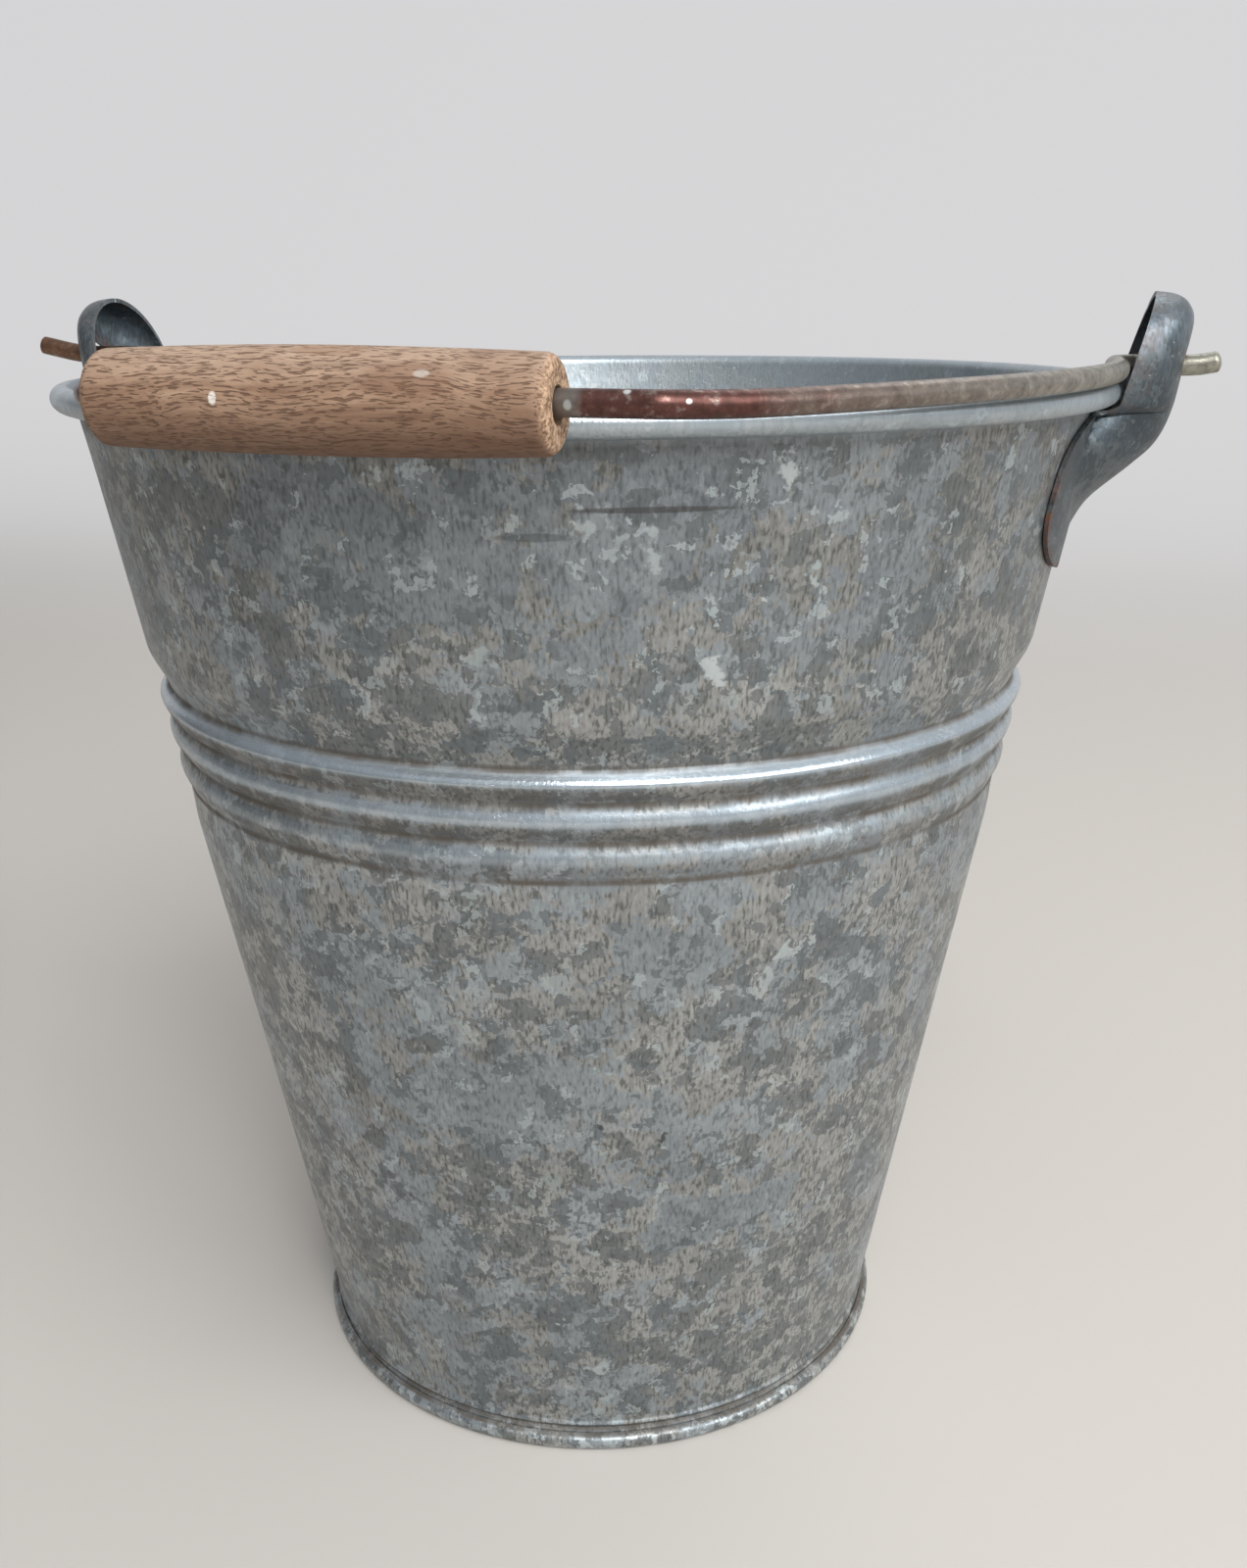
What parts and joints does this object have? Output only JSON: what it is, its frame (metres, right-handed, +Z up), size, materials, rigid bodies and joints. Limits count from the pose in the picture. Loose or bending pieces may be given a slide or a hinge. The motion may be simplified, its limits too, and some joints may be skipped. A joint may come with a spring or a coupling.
{
  "type": "bucket",
  "caption": "Weathered galvanised sheet-steel bucket with rolled beads, stamped ears, a wire bail and a turned wooden grip.",
  "frame": {"origin": "on the ground at the centre of the foot ring", "axes": "+Z up, X along the bail's hinge line through the two ears, -Y towards the rim on which the folded bail lies"},
  "size_m": [0.3593, 0.3226, 0.3278],
  "materials": {
    "galvanised_sheet": "dull spangled hot-dip zinc with dirt in its grooves",
    "galvanised_pressing": "dark dull zinc with small rust marks",
    "tarnished_wire": "tarnished brown wire",
    "weathered_beech": "dry weathered beech"
  },
  "bodies": {
    "bucket": {"body_wall": "galvanised_sheet", "rim_wire": "galvanised_sheet", "bottom_pan": "galvanised_sheet", "ear_right": "galvanised_pressing", "ear_left": "galvanised_pressing"},
    "bail": {"bail": "tarnished_wire"},
    "grip": {"grip": "weathered_beech"}
  },
  "joints": [
    {"name": "bail_swing", "type": "hinge", "parent": "bucket", "child": "bail", "pos_m": [0, 0, 0.3104], "axis": [-1, 0, 0.0056], "range_deg": [0, 180.5]},
    {"name": "grip_spin", "type": "hinge", "parent": "bail", "child": "grip", "pos_m": [-0.00781, -0.16189, 0.30852], "axis": [1, 0, -0.0056], "continuous": true}
  ]
}
